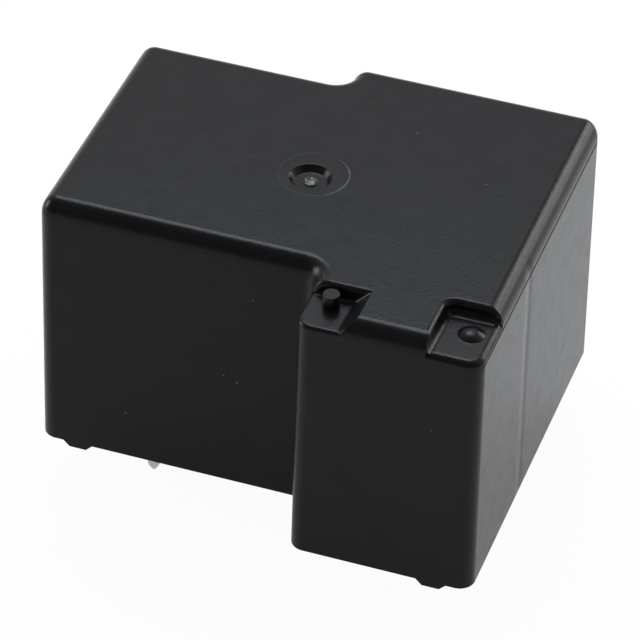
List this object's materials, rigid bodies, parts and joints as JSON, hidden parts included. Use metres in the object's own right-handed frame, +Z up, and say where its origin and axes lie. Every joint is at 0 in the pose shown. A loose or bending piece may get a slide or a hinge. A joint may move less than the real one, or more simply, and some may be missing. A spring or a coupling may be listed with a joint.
{
  "type": "pcb power relay",
  "caption": "Sealed board-mounted power relay in a black stepped case, with a coil, a hinged armature and a changeover contact on solder pins.",
  "frame": {"origin": "under the middle of the case's plan, at the level of the pin tips", "axes": "+X along the case from the coil end to the contact end, +Y from the contact bay at the front to the spring bay at the back, +Z up through the roof"},
  "size_m": [0.0324, 0.0276, 0.024],
  "materials": {
    "case_plastic": "satin, finely textured",
    "inner_plastic": "as moulded",
    "resin": "self-levelled, glossy",
    "enamelled_wire": "enamelled copper",
    "tape": "thin film",
    "soft_iron": "plated, dull",
    "spring_copper": "rolled",
    "contact_silver": "silver alloy, burnished",
    "rivet_brass": "headed",
    "terminal_copper": "tinned copper alloy",
    "tinned_pin": "bright tin"
  },
  "bodies": {
    "case": {"cover": "case_plastic", "base": "inner_plastic", "sealing_resin": "resin", "bobbin": "inner_plastic", "coil_winding": "enamelled_wire", "coil_tape": "tape", "core": "soft_iron", "yoke": "soft_iron", "yoke_rivets": "rivet_brass", "common_terminal": "terminal_copper", "open_terminal": "terminal_copper", "open_contact": "contact_silver", "closed_terminal": "terminal_copper", "closed_contact": "contact_silver", "coil_pin_a": "tinned_pin", "coil_pin_b": "tinned_pin", "coil_lead_a": "enamelled_wire", "coil_lead_b": "enamelled_wire"},
    "armature": {"armature": "soft_iron", "contact_spring": "spring_copper", "moving_contact": "contact_silver", "armature_rivets": "rivet_brass"}
  },
  "joints": [
    {"name": "armature_hinge", "type": "hinge", "parent": "case", "child": "armature", "pos_m": [0.00846, 0.00943, 0.0143], "axis": [0, 0, -1], "range_deg": [0, 3.3], "stiffness_Nm_per_rad": 0.03, "springref_deg": -8.59, "deforming": ["contact_spring"]}
  ]
}
